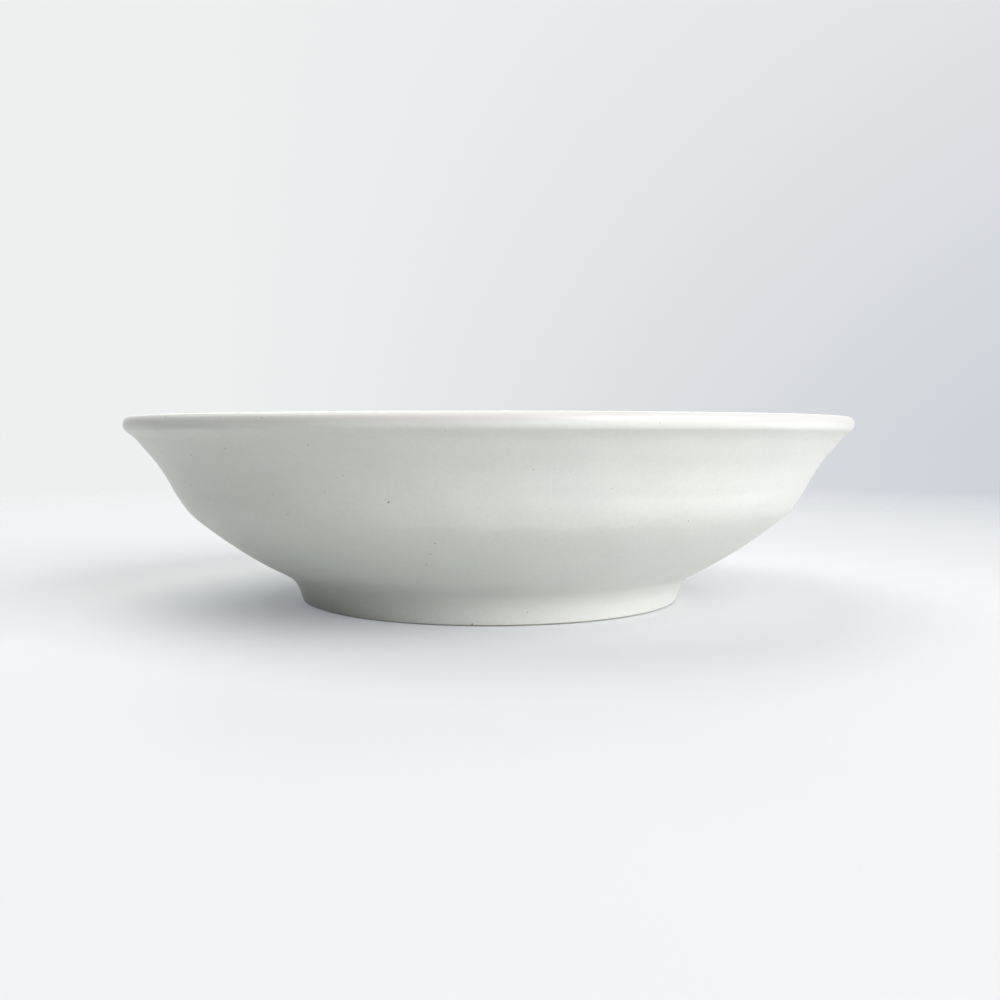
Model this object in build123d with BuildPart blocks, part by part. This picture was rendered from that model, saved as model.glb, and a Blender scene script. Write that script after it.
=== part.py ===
"""A soy sauce dish: a small round ceramic dish with a flared lip, a soft knuckle and a raised foot ring.

The dish stands on the XY plane with its axis on Z. Every piece is turned about that axis, so one half section
holds the whole dish: first the outline of the glazed skin, then the clay inside it, one coat of glaze smaller.
The clay is a bowl with a foot ring luted under it, and the space between clay and skin is the three coats of glaze.
Sizes are in millimetres and angles in degrees.
"""
import os
from math import radians, sqrt, tan

from build123d import *

# Outside of the glazed dish
RIM_DIAMETER = 96.0  # across the outside of the lip
DISH_HEIGHT = 24.5  # from the table to the crest of the lip
LIP_THICKNESS = 1.9  # the lip is a round bead
LIP_OVERHANG = 0.12  # how far the bead stands out from the line of the flared wall
LIP_HOLLOW = 2.0  # rounding of the hollow under the bead
LIP_SLOPE = 46.5  # how steeply the wall runs into the lip, above level
FLARE_WIDTH = 7.15  # how far the flared wall leans out, from the knuckle to the lip
FLARE_HEIGHT = 11.5  # of the flared wall, from the knuckle to the crest of the lip
KNUCKLE_ROUNDING = 6.5  # where the belly turns up into the flared wall
BELLY_RADIUS = 50.0  # swell of the belly between waist and knuckle
WAIST_ROUNDING = 5.0  # where the foot meets the belly
FOOT_HEIGHT = 3.35  # from the table to the waist
FOOT_DIAMETER = 51.1  # across the foot at the table
FOOT_LEAN = 19.0  # of the foot's side, from upright

# Inside of the glazed dish
WALL_THICKNESS = 3.2  # at the knuckle
FLOOR_THICKNESS = 3.8
FLOOR_DIAMETER = 36.0  # of the level floor of the well
WELL_ROUNDING = 9.0  # the knuckle, seen from the well

# Underside
FOOT_WIDTH = 3.8  # of the foot ring at the table
RECESS_DEPTH = 2.3
RECESS_DRAFT = 10.0  # lean of the recess wall
RECESS_ROUNDING = 0.6
FOOT_EDGE_ROUNDING = 0.2  # bare edges of the foot

# Coats of glaze, and the joint of foot and bowl
GLAZE_THICKNESS = 0.3
GLAZE_LINE = 0.15  # the foot is wiped clean of glaze below this height
GLAZE_EDGE_FULLNESS = 0.4  # rounding of a coat's lower edge, as a share of the coat
SEAT_HEIGHT = 1.6  # underside of the bowl, where the foot ring is luted on
SLIP_THICKNESS = 0.3

# Sizes worked out from these
LIP_RADIUS = LIP_THICKNESS / 2
LIP_INSET = LIP_RADIUS - LIP_OVERHANG  # of the line of the flared wall, from the middle of the bead
LIP_DROP = sqrt(LIP_RADIUS**2 - LIP_INSET**2)  # along the wall, from the middle of the bead to its lower edge
FOOT_RADIUS = FOOT_DIAMETER / 2
FOOT_TAPER = tan(radians(FOOT_LEAN))
RECESS_RADIUS = FOOT_RADIUS - FOOT_WIDTH
RECESS_TAPER = tan(radians(RECESS_DRAFT))
GLAZE_EDGE_ROUNDING = GLAZE_EDGE_FULLNESS * GLAZE_THICKNESS
SPARE_FOOT = 2 * GLAZE_THICKNESS  # the outline runs on this far below the table, and is cut there
SEAT_PLANE = Plane.XY.offset(SEAT_HEIGHT)
SLIP_PLANE = Plane.XY.offset(SEAT_HEIGHT - SLIP_THICKNESS)


def inwards(direction):
    """Return the direction square to a line that runs up the outside and down the well, into the clay."""
    return direction.rotate(Axis.Z, 90)


# Corners of the skin's outline, as radius and height, before they are rounded
lip_slope = Vector(1, 0).rotate(Axis.Z, LIP_SLOPE)
lip_centre = Vector(RIM_DIAMETER / 2 - LIP_RADIUS, DISH_HEIGHT - LIP_RADIUS)
lip_outside = lip_centre - inwards(lip_slope) * LIP_INSET - lip_slope * LIP_DROP
lip_inside = lip_centre + inwards(lip_slope) * LIP_RADIUS
knuckle = Vector(RIM_DIAMETER / 2 - FLARE_WIDTH, DISH_HEIGHT - FLARE_HEIGHT)
waist = Vector(FOOT_RADIUS + FOOT_TAPER * FOOT_HEIGHT, FOOT_HEIGHT)
foot_outside = Vector(FOOT_RADIUS - FOOT_TAPER * SPARE_FOOT, -SPARE_FOOT)
foot_inside = Vector(RECESS_RADIUS + RECESS_TAPER * SPARE_FOOT, -SPARE_FOOT)
recess_corner = Vector(RECESS_RADIUS - RECESS_TAPER * RECESS_DEPTH, RECESS_DEPTH)
recess_centre = Vector(0, RECESS_DEPTH)
floor_centre = Vector(0, RECESS_DEPTH + FLOOR_THICKNESS)
floor_edge = floor_centre + Vector(FLOOR_DIAMETER / 2, 0)

# Half section of the glazed skin
with BuildSketch(Plane.XZ) as skin_section:
    with BuildLine():
        belly = RadiusArc(waist, knuckle, -BELLY_RADIUS)
        flare = TangentArc(lip_outside, knuckle, tangent=-lip_slope)
        ThreePointArc(lip_outside, lip_centre + lip_slope * LIP_RADIUS, lip_inside)
        knuckle_slope = (belly % 1 - flare % 1).normalized()
        well_knuckle = knuckle + inwards(knuckle_slope) * WALL_THICKNESS
        TangentArc(lip_inside, well_knuckle, tangent=-lip_slope)
        TangentArc(floor_edge, well_knuckle, tangent=(1, 0))
        Polyline(floor_edge, floor_centre, recess_centre, recess_corner, foot_inside, foot_outside, waist)
    make_face()
    roundings = (
        (lip_outside, LIP_HOLLOW),
        (waist, WAIST_ROUNDING),
        (knuckle, KNUCKLE_ROUNDING),
        (well_knuckle, WELL_ROUNDING),
        (recess_corner, RECESS_ROUNDING),
    )
    for corner, rounding in roundings:
        fillet(skin_section.vertices().sort_by_distance(corner)[0], rounding)

# Half section of the clay: each glazed line of the skin again, one coat further in, closed on the axis and in the
# spare foot, and cut at the table
glazed_lines = skin_section.edges().sort_by(Axis.X)[1:].sort_by(Axis.Y)[1:]
with BuildSketch(Plane.XZ) as clay_section:
    with BuildLine() as clay_outline:
        for line in glazed_lines:
            start, middle, end = (line @ t + inwards(line % t) * GLAZE_THICKNESS for t in (0, 0.5, 1))
            if line.geom_type == GeomType.LINE:
                Line(start, end)
            else:
                ThreePointArc(start, middle, end)
        Line(*clay_outline.vertices().sort_by(Axis.X)[:2])
        Line(*clay_outline.vertices().sort_by(Axis.Y)[:2])
    make_face()
    split(bisect_by=Plane.ZX)
    fillet(clay_section.vertices().group_by(Axis.Y)[0], FOOT_EDGE_ROUNDING)

# Half section of the glaze: the skin less the clay, down to the glaze line
with BuildSketch(Plane.XZ) as coat_section:
    add(skin_section)
    add(clay_section, mode=Mode.SUBTRACT)
    split(bisect_by=Plane.ZX.offset(GLAZE_LINE))
recess_coat, dish_coat = coat_section.faces().sort_by(Axis.Y)

# The coats in the well and outside meet on the crest of the lip
with BuildSketch(Plane.XZ) as well_section:
    add(dish_coat)
    with Locations((RIM_DIAMETER / 2, DISH_HEIGHT)):
        Rectangle(LIP_THICKNESS, LIP_THICKNESS, mode=Mode.SUBTRACT)
    add(well_section.faces().sort_by(Axis.X)[0], mode=Mode.REPLACE)

os.makedirs("parts", exist_ok=True)

# Clay bowl, above the seat of the foot ring
with BuildPart() as bowl_body:
    revolve(clay_section.sketch)
    split(bisect_by=SEAT_PLANE)
bowl_body.part.label = "bowl_body"
export_step(bowl_body.part, "parts/bowl_body.step")

# Slip that joins the foot ring to the bowl
with BuildPart() as luting_slip:
    revolve(clay_section.sketch)
    split(bisect_by=SEAT_PLANE, keep=Keep.BOTTOM)
    split(bisect_by=SLIP_PLANE)
luting_slip.part.label = "luting_slip"
export_step(luting_slip.part, "parts/luting_slip.step")

# Clay foot ring, which stands on the table
with BuildPart() as foot_ring:
    revolve(clay_section.sketch)
    split(bisect_by=SLIP_PLANE, keep=Keep.BOTTOM)
foot_ring.part.label = "foot_ring"
export_step(foot_ring.part, "parts/foot_ring.step")

# Glaze in the well
with BuildPart() as inner_glaze:
    revolve(well_section.sketch)
inner_glaze.part.label = "inner_glaze"
export_step(inner_glaze.part, "parts/inner_glaze.step")

# Glaze outside, with a rounded lower edge on the foot
with BuildPart() as outer_glaze:
    with BuildSketch(Plane.XZ) as outer_section:
        add(dish_coat)
        add(well_section, mode=Mode.SUBTRACT)
        fillet(outer_section.vertices().group_by(Axis.Y)[0].sort_by(Axis.X)[-1], GLAZE_EDGE_ROUNDING)
    revolve()
outer_glaze.part.label = "outer_glaze"
export_step(outer_glaze.part, "parts/outer_glaze.step")

# Glaze under the dish, with a rounded lower edge inside the foot
with BuildPart() as recess_glaze:
    with BuildSketch(Plane.XZ) as recess_section:
        add(recess_coat)
        fillet(recess_section.vertices().group_by(Axis.Y)[0].sort_by(Axis.X)[0], GLAZE_EDGE_ROUNDING)
    revolve()
recess_glaze.part.label = "recess_glaze"
export_step(recess_glaze.part, "parts/recess_glaze.step")
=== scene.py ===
"""Soy sauce dish: turned white glaze over clay, on a plain pale floor, seen as in the photograph.

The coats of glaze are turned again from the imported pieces' own sections, finely enough to hold the rings of
throwing. The clay pieces stay as they are packed. Lengths are in metres.
"""

import math

import bmesh
import bpy
import numpy as np
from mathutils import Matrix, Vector


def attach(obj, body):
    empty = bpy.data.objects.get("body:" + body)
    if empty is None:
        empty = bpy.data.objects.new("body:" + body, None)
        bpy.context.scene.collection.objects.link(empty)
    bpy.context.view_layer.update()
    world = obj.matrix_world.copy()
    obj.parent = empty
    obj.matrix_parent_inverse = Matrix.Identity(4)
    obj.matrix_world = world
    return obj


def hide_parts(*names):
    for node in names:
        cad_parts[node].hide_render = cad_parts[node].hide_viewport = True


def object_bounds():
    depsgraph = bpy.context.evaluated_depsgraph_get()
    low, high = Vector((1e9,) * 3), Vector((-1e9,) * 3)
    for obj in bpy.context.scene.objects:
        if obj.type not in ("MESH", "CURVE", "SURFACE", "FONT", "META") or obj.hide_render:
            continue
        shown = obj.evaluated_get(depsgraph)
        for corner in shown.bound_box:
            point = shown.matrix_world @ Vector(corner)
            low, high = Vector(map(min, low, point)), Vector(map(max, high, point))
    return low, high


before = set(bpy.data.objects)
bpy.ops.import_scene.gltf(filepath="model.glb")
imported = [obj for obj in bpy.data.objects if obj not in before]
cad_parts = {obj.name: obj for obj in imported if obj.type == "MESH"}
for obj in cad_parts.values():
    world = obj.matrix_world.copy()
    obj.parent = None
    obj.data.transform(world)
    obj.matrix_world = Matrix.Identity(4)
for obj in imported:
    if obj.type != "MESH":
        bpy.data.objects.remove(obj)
cad_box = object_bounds()
RIM_RADIUS = min(cad_box[1].x, cad_box[1].y, -cad_box[0].x, -cad_box[0].y)
DISH_HEIGHT = cad_box[1].z
CLAY_NODES = ("bowl_body", "luting_slip", "foot_ring")

# How finely the coats are turned
TURN_STEPS = 320
SECTION_STEP = 0.00022
SMALL_STEP = 0.05 * SECTION_STEP  # off a face, to tell on which side of it the clay lies
WELD = 1e-7
BOX_MARGIN = 1e-6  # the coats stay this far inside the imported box
SHARP_CORNER = math.radians(48)
STRAIGHT_RUN = 5.0  # a chord this many times longer than the next one is a straight line of the section

# Throwing rings in the outside of the wall: height, half width and how far each stands out. The last one
# fills out the lower edge of the lip. Each wave around the axis is a share, turns, a climb and a start.
OUTSIDE_RINGS = (
    (0.0095, 0.0008, -0.000025),
    (0.0108, 0.0009, 0.000030),
    (0.0132, 0.0008, -0.000030),
    (0.0150, 0.0012, 0.000100),
    (0.0169, 0.0007, 0.000030),
    (0.0188, 0.0011, -0.000045),
    (0.0205, 0.0007, 0.000015),
    (0.02265, 0.00045, 0.000190),
)
RING_STRENGTH = 0.85
RING_STRENGTH_WAVES = ((0.10, 2, 0, 0.6), (0.05, 5, 0, 2.1))
RING_DRIFT = 0.0015  # how far a ring low on the wall wanders up and down
RING_DRIFT_WAVES = ((0.3, 1, 0, 0.9), (0.7, 5, 0, 3.3))

# Smears of wet fingers around the waist, where the foot was joined on
SMEAR_HEIGHT = 0.0052
SMEAR_SPREAD = 0.0022
SMEAR_CLIMB = 0.0016
SMEAR_DEPTH = 0.00003
SMEAR_WAVES = ((1, 9, 0, 0.4), (1, 14, 1, 0), (1, 22, -1, 0))

# Marks of fingers in the well
WELL_RING_SPACING = 0.0052
WELL_RING_DEPTH = 0.00004

# Turning lines, finer than the rings, on all glazed faces. Each wave along the section is a share, a number
# to the spacing, a start, and a sway with its turns around the axis.
LINE_SPACING = 0.0016
LINE_DEPTH = 0.0000015
LINE_WAVES = ((1, 1, 0, 0.7, 1), (0.7, 1.73, 1.1, 0.5, 2))

# Soft unevenness of hand-turned faces: how deep, how long its waves are, and the waves
UNEVEN_DEPTH = 0.000018
UNEVEN_LENGTH = 0.0095
UNEVEN_WAVES = (
    (1, 19, 0.5, 0.4),
    (1, -23, 0.9, 2.0),
    (1, 14, -1.2, 4.1),
    (1, 31, 0.7, 5.3),
    (1, -11, 1.4, 1.2),
)

# All this relief dies away this near to the lip and to the table, and where a coat is near the clay
LIP_FADE = 0.0024
FOOT_FADE = 0.0012
FREE_SHARE = 0.8  # of a coat's thickness, off the clay, from where relief is whole

# How much glaze has gathered, from 0 to 1: the same on an even wall, and more in a hollow
EVEN_GLAZE = 0.45
FLOW_REACH = 0.0021  # how far along the section glaze flows into a hollow
HOLLOW_SCALE = 0.0012  # a hollow this deep would add 1
# Glaze has run down the wall and gathered above the foot, a little all round and much more at one place low on
# the front-left, where it is painted green shade
RUN_GAIN = 0.4
RUN_HEIGHT = 0.0082
RUN_SPREAD = 0.0042
GREEN_SHADE_SIDE = math.radians(254)
GREEN_SHADE_WIDTH = math.radians(27)
RUN_ELSEWHERE = 0.1
# Glaze is thin on the crest of the lip all round; on the side that faces the key lamp the crest is darker
# still, which is painted shade
CREST_LOSS = 0.4
CREST_SHADE_SWING = 0.1
CREST_HEIGHT = 0.00125
CREST_SOFTNESS = 0.6
CREST_SHADE_SIDE = math.radians(315)

# Floor, which is whole around the dish and fades away from it
FLOOR_RADIUS = 0.9
FLOOR_DROP = 0.00002
FLOOR_CENTRE = (-0.03, -0.06, 0)
FLOOR_WHOLE = 0.08
FLOOR_GONE = 0.40

# Lamps, all alike in size and distance: name, azimuth, elevation, power and tint
LAMP_WIDTH = 0.9
LAMP_DISTANCE = 1.0
RIGHT_TINT = (1.0, 0.985, 1.02)
LEFT_TINT = (0.985, 1.01, 0.985)
LAMPS = (
    ("right_low", 50, 10, 4.5, RIGHT_TINT),
    ("right_high", 50, 30, 10.6, RIGHT_TINT),
    ("left_top", -110, 70, 5.2, LEFT_TINT),
    ("back_high", -150, 55, 1.4, LEFT_TINT),
    ("back_low", 180, 25, 3.5, LEFT_TINT),
)

# The photograph's camera
CAMERA_DISTANCE = 0.1502
CAMERA_HEIGHT = 0.0221
CAMERA_PITCH = math.radians(3.386)
CAMERA_YAW = math.radians(0.54)
CAMERA_LENS = 38.99
CAMERA_SENSOR = 36.0
CAMERA_NEAREST = 0.005


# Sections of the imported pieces


def section_of(name):
    """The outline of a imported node's half section, as points of radius and height, and whether it closes."""
    cut = bmesh.new()
    cut.from_mesh(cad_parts[name].data)
    bmesh.ops.remove_doubles(cut, verts=cut.verts, dist=WELD)
    everything = cut.verts[:] + cut.edges[:] + cut.faces[:]
    bmesh.ops.bisect_plane(
        cut, geom=everything, plane_no=(0, 1, 0), dist=WELD, clear_inner=True, clear_outer=True
    )
    outline = cut.verts[:] + cut.edges[:]
    bmesh.ops.bisect_plane(cut, geom=outline, plane_no=(1, 0, 0), dist=WELD, clear_inner=True)
    ends = [v for v in cut.verts if len(v.link_edges) == 1]
    here = min(ends or cut.verts, key=lambda v: v.co.z)
    walked = []
    edge = None
    while here not in walked:
        walked.append(here)
        ways = [e for e in here.link_edges if e is not edge]
        if not ways:
            break
        edge = ways[0]
        here = edge.other_vert(here)
    points = np.array([(v.co.x, v.co.z) for v in walked])
    cut.free()
    return points, not ends


def rotated(direction, angle):
    """A direction in the section, turned by an angle."""
    c, s = math.cos(angle), math.sin(angle)
    return np.array((direction[0] * c - direction[1] * s, direction[0] * s + direction[1] * c))


def end_directions(lengths, ways, closed):
    """The directions of a smooth outline at the ends of each chord, which agree but at sharp corners."""
    leaving, arriving = ways.copy(), ways.copy()
    for i in range(0 if closed else 1, len(ways)):
        before, after = ways[i - 1], ways[i]
        turn = math.atan2(before[0] * after[1] - before[1] * after[0], before @ after)
        if abs(turn) > SHARP_CORNER:
            continue
        share = lengths[i - 1] / (lengths[i - 1] + lengths[i])
        if lengths[i - 1] > STRAIGHT_RUN * lengths[i]:
            share = 0.0
        elif lengths[i] > STRAIGHT_RUN * lengths[i - 1]:
            share = 1.0
        arriving[i - 1] = leaving[i] = rotated(before, turn * share)
    return leaving, arriving


def smooth_section(points, closed):
    """The outline again in small steps, round where the piece is round and sharp at its corners."""
    loop = np.vstack([points, points[:1]]) if closed else points
    chords = np.diff(loop, axis=0)
    lengths = np.linalg.norm(chords, axis=1)
    leaving, arriving = end_directions(lengths, chords / lengths[:, None], closed)
    fine = []
    for i, length in enumerate(lengths):
        steps = max(1, round(length / SECTION_STEP))
        for t in np.arange(steps) / steps:
            # A cubic curve along the chord, in the directions of its ends
            fine.append(
                (2 * t**3 - 3 * t**2 + 1) * loop[i]
                + (t**3 - 2 * t**2 + t) * length * leaving[i]
                + (3 * t**2 - 2 * t**3) * loop[i + 1]
                + (t**3 - t**2) * length * arriving[i]
            )
    if not closed:
        fine.append(loop[-1])
    return np.array(fine)


def distance_to(points, others):
    """How far each point lies from the nearest of the others."""
    apart = points[:, None, :] - others[None, :, :]
    return np.sqrt((apart**2).sum(axis=2)).min(axis=1)


def along_section(section):
    """How far along its section each point of a coat lies."""
    steps = np.linalg.norm(np.diff(section, axis=0), axis=1)
    return np.concatenate([[0], np.cumsum(steps)])[:, None]


def outward_of(section, closed):
    """The direction off the clay at each point of a coat's section."""
    if closed:
        along = np.roll(section, -1, axis=0) - np.roll(section, 1, axis=0)
    else:
        along = np.gradient(section, axis=0)
    along /= np.linalg.norm(along, axis=1)[:, None]
    off = np.column_stack([along[:, 1], -along[:, 0]])
    nudge = off * SMALL_STEP
    nearer = distance_to(section + nudge, clay_section) < distance_to(section - nudge, clay_section)
    off[nearer] *= -1
    return off


def hollow_depth(section, closed, off):
    """How far each point of a coat's section lies in a hollow, below the mean of its neighbours."""
    reach = round(FLOW_REACH / SECTION_STEP)
    weights = np.hanning(2 * reach + 3)[1:-1]
    weights /= weights.sum()
    padded = np.pad(section, ((reach, reach), (0, 0)), mode="wrap" if closed else "edge")
    mean = np.column_stack([np.convolve(padded[:, i], weights, mode="valid") for i in range(2)])
    return ((mean - section) * off).sum(axis=1)


clay_section = np.vstack([smooth_section(*section_of(name)) for name in CLAY_NODES])


# Relief of the coats


def hump(value, middle, half_width):
    """1 in the middle, falling softly to 0 on both sides."""
    return np.exp(-(((value - middle) / half_width) ** 2))


def waves(terms, angle, up=0):
    """Waves around the axis, added up."""
    return sum(share * np.sin(turns * angle + climb * up + start) for share, turns, climb, start in terms)


def outside_rings(section, angle):
    """How far the throwing rings, and the smears of fingers at the waist, stand out on the outside wall."""
    height = section[:, 1:]
    strength = RING_STRENGTH + waves(RING_STRENGTH_WAVES, angle)
    drift = RING_DRIFT * waves(RING_DRIFT_WAVES, angle)
    rings = np.zeros((len(section), len(angle)))
    for ring_height, half_width, depth in OUTSIDE_RINGS:
        looseness = max(0, 1 - ring_height / (DISH_HEIGHT - LIP_FADE))
        rings += depth * hump(height, ring_height + drift * looseness, half_width)
    smears = hump(height, SMEAR_HEIGHT, SMEAR_SPREAD) * waves(SMEAR_WAVES, angle, height / SMEAR_CLIMB)
    return rings * strength + SMEAR_DEPTH * smears


def well_rings(section, angle):
    """How far the marks of the potter's fingers stand out in the well, winding outwards."""
    turns = section[:, :1] / WELL_RING_SPACING
    return WELL_RING_DEPTH * np.clip(turns, 0, 1) * np.sin(turns * 2 * np.pi - angle)


def no_rings(section, angle):
    """The recess is trimmed smooth, without rings."""
    return np.zeros((len(section), len(angle)))


def turning_lines(section, angle):
    """Fine lines of the turning tool along the section."""
    phase = along_section(section) / LINE_SPACING * 2 * np.pi
    lines = np.zeros((len(section), len(angle)))
    for share, rate, start, sway, turns in LINE_WAVES:
        lines += share * np.sin(rate * phase + start + sway * np.sin(turns * angle))
    return LINE_DEPTH * lines


def unevenness(section, angle):
    """How far the face swells and sinks in crossing waves, which die away towards the axis."""
    swell = waves(UNEVEN_WAVES, angle, along_section(section) / UNEVEN_LENGTH * 2 * np.pi)
    return UNEVEN_DEPTH * swell * (section[:, :1] / RIM_RADIUS) ** 2


def relief_share(section):
    """How much of the relief shows: all on a free face, none against the clay, at the lip or at the table."""
    off_clay = distance_to(section, clay_section)
    free = np.clip(off_clay / (FREE_SHARE * off_clay.max()), 0, 1) ** 2
    below_lip = np.clip((DISH_HEIGHT - section[:, 1]) / LIP_FADE, 0, 1) ** 2
    above_table = np.clip(section[:, 1] / FOOT_FADE, 0, 1)
    return (free * below_lip * above_table)[:, None]


# Marks on the coats, which their material reads


def crest_share(section):
    """1 on the crest of the lip, and 0 below it."""
    return np.clip((section[:, 1:] - DISH_HEIGHT + CREST_HEIGHT) / (CREST_SOFTNESS * CREST_HEIGHT), 0, 1)


def glaze_gathered_and_painted_shade(section, hollow, angle):
    """How much glaze has gathered: more in a hollow and where it has run, less on the crest of the lip, with
    painted green shade low on one side and painted shade on the crest towards the key lamp.
    """
    even = EVEN_GLAZE + hollow[:, None] / HOLLOW_SCALE
    # The strong share at one side, low on the front-left, is painted green shade
    green_shade_share = RUN_ELSEWHERE + (1 - RUN_ELSEWHERE) * hump(angle, GREEN_SHADE_SIDE, GREEN_SHADE_WIDTH)
    run_and_green_shade = RUN_GAIN * hump(section[:, 1:], RUN_HEIGHT, RUN_SPREAD) * green_shade_share
    # The swing darkens the crest on the side that faces the key lamp: painted shade
    thin_and_shaded = crest_share(section) * (CREST_LOSS + CREST_SHADE_SWING * np.cos(angle - CREST_SHADE_SIDE))
    return np.clip(even + run_and_green_shade - thin_and_shaded, 0, 1)


def painted_shade_on_up_faces(section, off, angle):
    """How much a face looks up, which sets painted shade that greys the glaze: 1 on the well's floor, 0
    outside.
    """
    up_face_shade = np.clip(off[:, 1:], 0, 1) * (1 - crest_share(section))
    return np.repeat(up_face_shade, len(angle), axis=1)


# Turned coats of glaze


def turned_mesh(name, places, closed):
    """A mesh of rows of points that go round the axis, with faces from each row to the next."""
    rows, steps = places.shape[:2]
    corner = np.arange(rows * steps).reshape(rows, steps)
    lower = corner if closed else corner[:-1]
    upper = np.roll(corner, -1, axis=0) if closed else corner[1:]
    faces = np.stack([lower, np.roll(lower, -1, axis=1), np.roll(upper, -1, axis=1), upper], axis=2)
    mesh = bpy.data.meshes.new(name)
    mesh.from_pydata(places.reshape(-1, 3).tolist(), [], faces.reshape(-1, 4).tolist())
    return mesh


def weld_and_smooth(mesh):
    """Weld a mesh on the axis, turn its faces outwards, and shade it smooth except at sharp corners."""
    shape = bmesh.new()
    shape.from_mesh(mesh)
    bmesh.ops.remove_doubles(shape, verts=shape.verts, dist=WELD)
    bmesh.ops.recalc_face_normals(shape, faces=shape.faces)
    shape.to_mesh(mesh)
    shape.free()
    mesh.polygons.foreach_set("use_smooth", [True] * len(mesh.polygons))
    mesh.set_sharp_from_angle(angle=SHARP_CORNER)


def turn_coat(name, node, rings, material):
    """A coat of glaze turned about the axis from its packed section, with relief in its free face."""
    points, closed = section_of(node)
    section = smooth_section(points, closed)
    off = outward_of(section, closed)
    angle = np.arange(TURN_STEPS) / TURN_STEPS * 2 * np.pi
    relief = rings(section, angle) + turning_lines(section, angle) + unevenness(section, angle)
    relief *= relief_share(section)
    radius = np.clip(section[:, :1] + off[:, :1] * relief, 0, RIM_RADIUS - BOX_MARGIN)
    height = np.clip(section[:, 1:] + off[:, 1:] * relief, 0, DISH_HEIGHT - BOX_MARGIN)
    places = np.stack([radius * np.cos(angle), radius * np.sin(angle), height], axis=2)
    mesh = turned_mesh(name, places, closed)
    marks = {
        "glaze_and_painted_shade": glaze_gathered_and_painted_shade(section, hollow_depth(section, closed, off), angle),
        "up_face_shade": painted_shade_on_up_faces(section, off, angle),
    }
    for mark, values in marks.items():
        attribute = mesh.attributes.new(mark, "FLOAT", "POINT")
        attribute.data.foreach_set("value", values.astype(np.float32).ravel())
    weld_and_smooth(mesh)
    mesh.materials.append(material)
    coat = bpy.data.objects.new(name, mesh)
    bpy.context.scene.collection.objects.link(coat)
    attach(coat, "root")
    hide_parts(node)


# Nodes of the materials


def add_node(tree, kind, inputs=None, **settings):
    """A node with its settings, and its inputs set to values or joined to other nodes' outputs."""
    node = tree.nodes.new(kind)
    for name, value in settings.items():
        setattr(node, name, value)
    for name, value in (inputs or {}).items():
        if isinstance(value, bpy.types.NodeSocket):
            tree.links.new(value, node.inputs[name])
        else:
            node.inputs[name].default_value = value
    return node


def new_material(name):
    """A node material, with its tree, its shader and the place on the object in metres."""
    material = bpy.data.materials.new(name)
    material.use_nodes = True
    tree = material.node_tree
    place = add_node(tree, "ShaderNodeTexCoord").outputs["Object"]
    return material, tree, tree.nodes["Principled BSDF"], place


def mark_of(tree, name):
    """A mark that a coat's mesh carries."""
    return add_node(tree, "ShaderNodeAttribute", attribute_name=name).outputs["Fac"]


def noise(tree, place, grain, detail):
    """Cloudy noise whose patches are about one grain across."""
    inputs = {"Vector": place, "Scale": 1 / grain, "Detail": detail}
    return add_node(tree, "ShaderNodeTexNoise", inputs).outputs["Fac"]


def spread(tree, value, low, high, to_low, to_high):
    """A value between low and high, moved to between to_low and to_high."""
    inputs = {"Value": value, "From Min": low, "From Max": high, "To Min": to_low, "To Max": to_high}
    return add_node(tree, "ShaderNodeMapRange", inputs).outputs["Result"]


def combine(tree, operation, first, second):
    """Two values joined by one operation of arithmetic."""
    return add_node(tree, "ShaderNodeMath", {0: first, 1: second}, operation=operation).outputs["Value"]


def ramp(tree, value, stops):
    """Colours at stops along a value."""
    node = add_node(tree, "ShaderNodeValToRGB", {"Fac": value})
    elements = node.color_ramp.elements
    while len(elements) < len(stops):
        elements.new(1.0)
    for element, (position, colour) in zip(elements, stops):
        element.position = position
        element.color = (*colour, 1)
    return node.outputs["Color"]


def stain(tree, share, colour, mark):
    """A colour, with another one where the share is 1."""
    node = add_node(tree, "ShaderNodeMix", {"Factor": share}, data_type="RGBA")
    first, second = [socket for socket in node.inputs if socket.type == "RGBA"]
    tree.links.new(colour, first)
    second.default_value = (*mark, 1)
    return next(socket for socket in node.outputs if socket.type == "RGBA")


def specks(tree, place, spacing, radius):
    """Small ragged specks about one spacing apart, up to 1 in them, some fainter, and 0 between them."""
    wobble = add_node(tree, "ShaderNodeTexNoise", {"Vector": place, "Scale": 1 / radius, "Detail": 1.0})
    ragged = add_node(
        tree, "ShaderNodeVectorMath", {0: wobble.outputs["Color"], "Scale": radius}, operation="SCALE"
    )
    moved = add_node(tree, "ShaderNodeVectorMath", {0: place, 1: ragged.outputs["Vector"]}, operation="ADD")
    cells = add_node(tree, "ShaderNodeTexVoronoi", {"Vector": moved.outputs["Vector"], "Scale": 1 / spacing})
    share = radius / spacing
    spots = spread(tree, cells.outputs["Distance"], 0.5 * share, share, 1.0, 0.0)
    strength = spread(tree, cells.outputs["Color"], 0.25, 0.75, 0.2, 1.0)
    return combine(tree, "MULTIPLY", spots, strength)


def bump(tree, shader, height, depth):
    """Relief of one depth between height 0 and height 1."""
    node = add_node(tree, "ShaderNodeBump", {"Height": height, "Distance": depth, "Strength": 1.0})
    tree.links.new(node.outputs["Normal"], shader.inputs["Normal"])


def seen_directly(tree):
    """1 where the camera sees a thing itself or its reflection, and 0 where it only gives light."""
    path = add_node(tree, "ShaderNodeLightPath")
    seen = combine(tree, "MAXIMUM", path.outputs["Is Camera Ray"], path.outputs["Is Glossy Ray"])
    return combine(tree, "MAXIMUM", seen, path.outputs["Is Transmission Ray"])


# Materials


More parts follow.
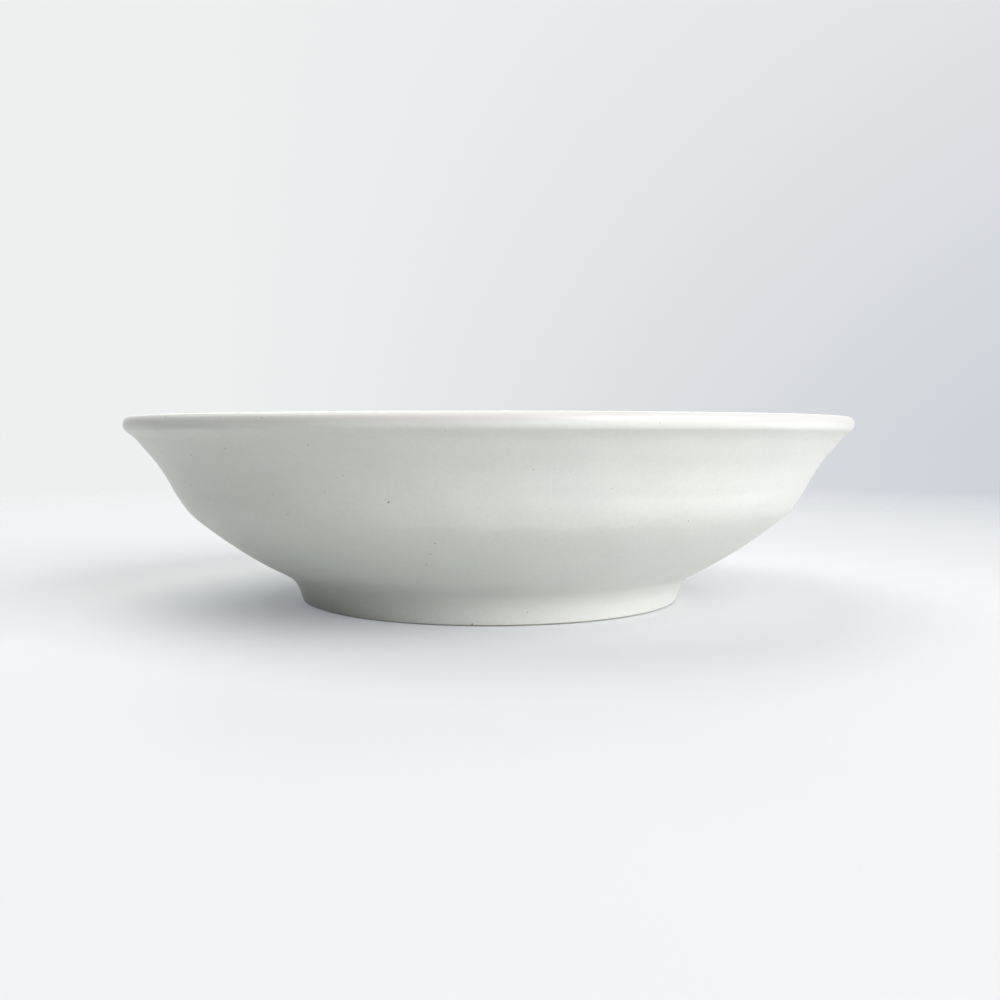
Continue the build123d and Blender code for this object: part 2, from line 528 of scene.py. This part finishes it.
def white_glaze():
    """Satin white glaze, green where it gathers and warm where it is thin, with specks and orange peel, and
    with painted shade: green low on one side, darker on the crest towards the key lamp, greyer where faces
    look up.
    """
    material, tree, shader, place = new_material("white_glaze")
    cloud = spread(tree, noise(tree, place, grain=0.018, detail=0.0), 0.2, 0.8, -0.16, 0.16)
    depth = combine(tree, "ADD", mark_of(tree, "glaze_and_painted_shade"), cloud)
    # The green end also carries the painted green shade low on one side, and the warm end the painted shade on
    # the crest
    tones = (
        (0.05, (0.690, 0.680, 0.640)),
        (0.35, (0.802, 0.816, 0.766)),
        (0.55, (0.792, 0.810, 0.759)),
        (0.95, (0.720, 0.820, 0.735)),
    )
    mottle = spread(tree, noise(tree, place, grain=0.0005, detail=2.0), 0.35, 0.65, 0.0, 0.12)
    even = stain(tree, mottle, ramp(tree, depth, tones), (0.62, 0.62, 0.58))
    # Faces that look up are greyed here: painted shade
    up_face_shade = spread(tree, mark_of(tree, "up_face_shade"), 0.0, 0.9, 0.0, 0.5)
    shaded_up_faces = stain(tree, up_face_shade, even, (0.610, 0.613, 0.585))
    many = specks(tree, place, spacing=0.0019, radius=0.00011)
    few = specks(tree, place, spacing=0.0050, radius=0.00015)
    pins = combine(tree, "MAXIMUM", many, few)
    tree.links.new(stain(tree, pins, shaded_up_faces, (0.22, 0.21, 0.18)), shader.inputs["Base Color"])
    sheen = spread(tree, noise(tree, place, grain=0.006, detail=3.0), 0.3, 0.7, 0.29, 0.37)
    tree.links.new(sheen, shader.inputs["Roughness"])
    peel = combine(tree, "SUBTRACT", noise(tree, place, grain=0.0016, detail=1.0), pins)
    bump(tree, shader, peel, depth=0.000006)
    shader.inputs["IOR"].default_value = 1.5
    return material


def fired_clay(name, pale, dark, grain):
    """Bare fired clay: grains of two shades, a few dark specks, and a dull and grainy face."""
    material, tree, shader, place = new_material(name)
    cloud = spread(tree, noise(tree, place, grain=0.009, detail=3.0), 0.3, 0.7, 0.0, 0.5)
    grains = spread(tree, noise(tree, place, grain, detail=4.0), 0.35, 0.65, 0.0, 0.5)
    shade = ramp(tree, combine(tree, "ADD", cloud, grains), ((0.0, pale), (1.0, dark)))
    iron = specks(tree, place, spacing=0.0021, radius=0.00016)
    tree.links.new(stain(tree, iron, shade, (0.24, 0.17, 0.11)), shader.inputs["Base Color"])
    tree.links.new(spread(tree, grains, 0.0, 0.5, 0.78, 0.92), shader.inputs["Roughness"])
    bump(tree, shader, grains, depth=0.00004)
    return material


def floor_material():
    """A plain pale floor that is lifted in tone where it is seen, and fades into the background."""
    material, tree, shader, place = new_material("floor")
    cloud = noise(tree, place, grain=0.05, detail=3.0)
    tone = ramp(tree, cloud, ((0.3, (0.604, 0.611, 0.592)), (0.7, (0.614, 0.621, 0.602))))
    tree.links.new(tone, shader.inputs["Base Color"])
    shader.inputs["Roughness"].default_value = 0.85
    lift = combine(tree, "MULTIPLY", seen_directly(tree), spread(tree, cloud, 0.3, 0.7, 0.198, 0.202))
    tree.links.new(lift, shader.inputs["Emission Strength"])
    shader.inputs["Emission Color"].default_value = (0.93, 1.0, 1.12, 1)
    away = add_node(tree, "ShaderNodeVectorMath", {0: place, 1: FLOOR_CENTRE}, operation="DISTANCE")
    fade = spread(tree, away.outputs["Value"], FLOOR_WHOLE, FLOOR_GONE, 0.0, 1.0)
    clear = add_node(tree, "ShaderNodeBsdfTransparent")
    mixed = add_node(tree, "ShaderNodeMixShader", {0: fade, 1: shader.outputs[0], 2: clear.outputs[0]})
    tree.links.new(mixed.outputs[0], tree.nodes["Material Output"].inputs["Surface"])
    return material


# Stage


def pale_floor():
    """A round floor, just under the foot of the dish."""
    mesh = bpy.data.meshes.new("floor")
    shape = bmesh.new()
    bmesh.ops.create_circle(shape, cap_ends=True, segments=96, radius=FLOOR_RADIUS)
    shape.to_mesh(mesh)
    shape.free()
    mesh.materials.append(floor_material())
    floor = bpy.data.objects.new("floor", mesh)
    floor.location.z = -FLOOR_DROP
    bpy.context.scene.collection.objects.link(floor)


def pale_world():
    """A pale background with painted shade, greyer low on the right, which is seen but gives no light."""
    world = bpy.data.worlds.new("world")
    world.use_nodes = True
    tree = world.node_tree
    tree.nodes.clear()
    way = add_node(tree, "ShaderNodeTexCoord").outputs["Generated"]
    parts = add_node(tree, "ShaderNodeSeparateXYZ", {0: way})
    right = spread(tree, parts.outputs["X"], -0.25, 0.45, 0.0, 1.0)
    low = spread(tree, parts.outputs["Z"], 0.0, 0.42, 1.0, 0.35)
    shade = combine(tree, "MULTIPLY", right, low)
    tone = ramp(tree, shade, ((0.0, (0.86, 0.875, 0.875)), (1.0, (0.61, 0.645, 0.69))))
    background = add_node(tree, "ShaderNodeBackground", {"Color": tone, "Strength": seen_directly(tree)})
    add_node(tree, "ShaderNodeOutputWorld", {"Surface": background.outputs[0]})
    bpy.context.scene.world = world


def soft_lamp(name, azimuth, elevation, power, tint):
    """A square lamp that faces the dish, 0 degrees being the camera's side and 90 the right."""
    a, e = math.radians(azimuth), math.radians(elevation)
    place = LAMP_DISTANCE * Vector((math.sin(a) * math.cos(e), -math.cos(a) * math.cos(e), math.sin(e)))
    lamp = bpy.data.lights.new(name, "AREA")
    lamp.shape = "SQUARE"
    lamp.size = LAMP_WIDTH
    lamp.energy = power
    lamp.color = tint
    holder = bpy.data.objects.new(name, lamp)
    holder.location = place
    holder.rotation_euler = (-place).to_track_quat("-Z", "Y").to_euler()
    holder.visible_camera = False
    bpy.context.scene.collection.objects.link(holder)


def photograph_camera():
    """The camera where the photograph's stood."""
    camera = bpy.data.cameras.new("camera")
    camera.sensor_width = CAMERA_SENSOR
    camera.lens = CAMERA_LENS
    camera.clip_start = CAMERA_NEAREST
    holder = bpy.data.objects.new("camera", camera)
    holder.location = (0, -CAMERA_DISTANCE, CAMERA_HEIGHT)
    holder.rotation_euler = (math.pi / 2 - CAMERA_PITCH, 0, -CAMERA_YAW)
    bpy.context.scene.collection.objects.link(holder)
    bpy.context.scene.camera = holder


# The dish and its stage, put together

glaze = white_glaze()
clay = fired_clay("fired_clay", pale=(0.70, 0.665, 0.59), dark=(0.56, 0.51, 0.42), grain=0.0004)
slip = fired_clay("fired_slip", pale=(0.66, 0.61, 0.53), dark=(0.55, 0.50, 0.41), grain=0.00025)
turn_coat("outer_coat", "outer_glaze", outside_rings, glaze)
turn_coat("inner_coat", "inner_glaze", well_rings, glaze)
turn_coat("recess_coat", "recess_glaze", no_rings, glaze)
for name, material in zip(CLAY_NODES, (clay, slip, clay)):
    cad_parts[name].data.materials[0] = material

pale_floor()
pale_world()
for lamp in LAMPS:
    soft_lamp(*lamp)
photograph_camera()
bpy.context.scene.view_settings.view_transform = "Standard"
